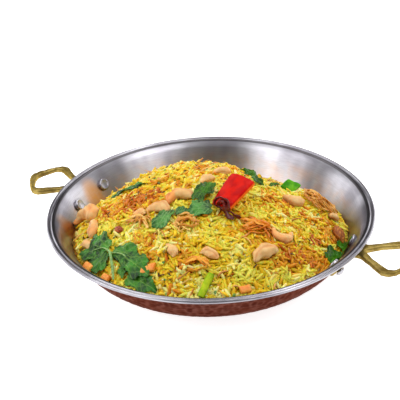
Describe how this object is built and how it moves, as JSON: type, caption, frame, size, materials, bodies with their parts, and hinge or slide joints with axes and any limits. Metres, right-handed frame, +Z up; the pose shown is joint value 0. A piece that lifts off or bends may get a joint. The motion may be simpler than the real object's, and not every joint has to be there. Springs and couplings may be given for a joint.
{
  "type": "biryani in serving pan",
  "caption": "Vegetable biryani with cashews, fried onion, herbs and red pepper, heaped in a shallow two-handled steel and hammered copper serving pan.",
  "frame": {"origin": "middle of the pan's flat base, on the table", "axes": "+X towards the right grip, +Y towards the back, +Z up"},
  "size_m": [0.3706, 0.2794, 0.0907],
  "materials": {
    "copper": "dull hammered copper",
    "steel": "brushed stainless steel",
    "brass": "satin cast brass",
    "rice": "moist cooked rice",
    "cashew": "fried nut",
    "herb": "fresh leaf",
    "fried_onion": "oily and translucent",
    "red_pepper": "wet glossy skin",
    "green_pepper": "wet glossy skin",
    "green_chilli": "glossy skin",
    "carrot": "cooked carrot",
    "almond": "wrinkled brown skin",
    "raisin": "sticky and plumped"
  },
  "bodies": {
    "root": {"pan_copper": "copper", "pan_steel": "steel", "grip_right": "brass", "grip_left": "brass", "rivet_right_front": "steel", "rivet_right_back": "steel", "rivet_left_front": "steel", "rivet_left_back": "steel", "rice": "rice", "cashew_01": "cashew", "cashew_02": "cashew", "cashew_03": "cashew", "cashew_04": "cashew", "cashew_05": "cashew", "cashew_06": "cashew", "cashew_07": "cashew", "cashew_08": "cashew", "cashew_09": "cashew", "cashew_10": "cashew", "cashew_11": "cashew", "cashew_12": "cashew", "cashew_13": "cashew", "cashew_14": "cashew", "leaf_top_dark": "herb", "leaf_top_light": "herb", "leaf_middle": "herb", "leaf_curled": "herb", "leaf_thin": "herb", "leaf_right_upper": "herb", "leaf_right_lower": "herb", "leaf_back": "herb", "leaf_back_small": "herb", "sprig": "herb", "onion_dark": "fried_onion", "onion_back": "fried_onion", "onion_right": "fried_onion", "onion_left": "fried_onion", "onion_front": "fried_onion", "onion_west": "fried_onion", "pepper_red": "red_pepper", "pepper_green": "green_pepper", "chilli_green": "green_chilli", "carrot_01": "carrot", "carrot_02": "carrot", "carrot_03": "carrot", "carrot_04": "carrot", "almond": "almond", "raisin_01": "raisin"}
  },
  "joints": []
}
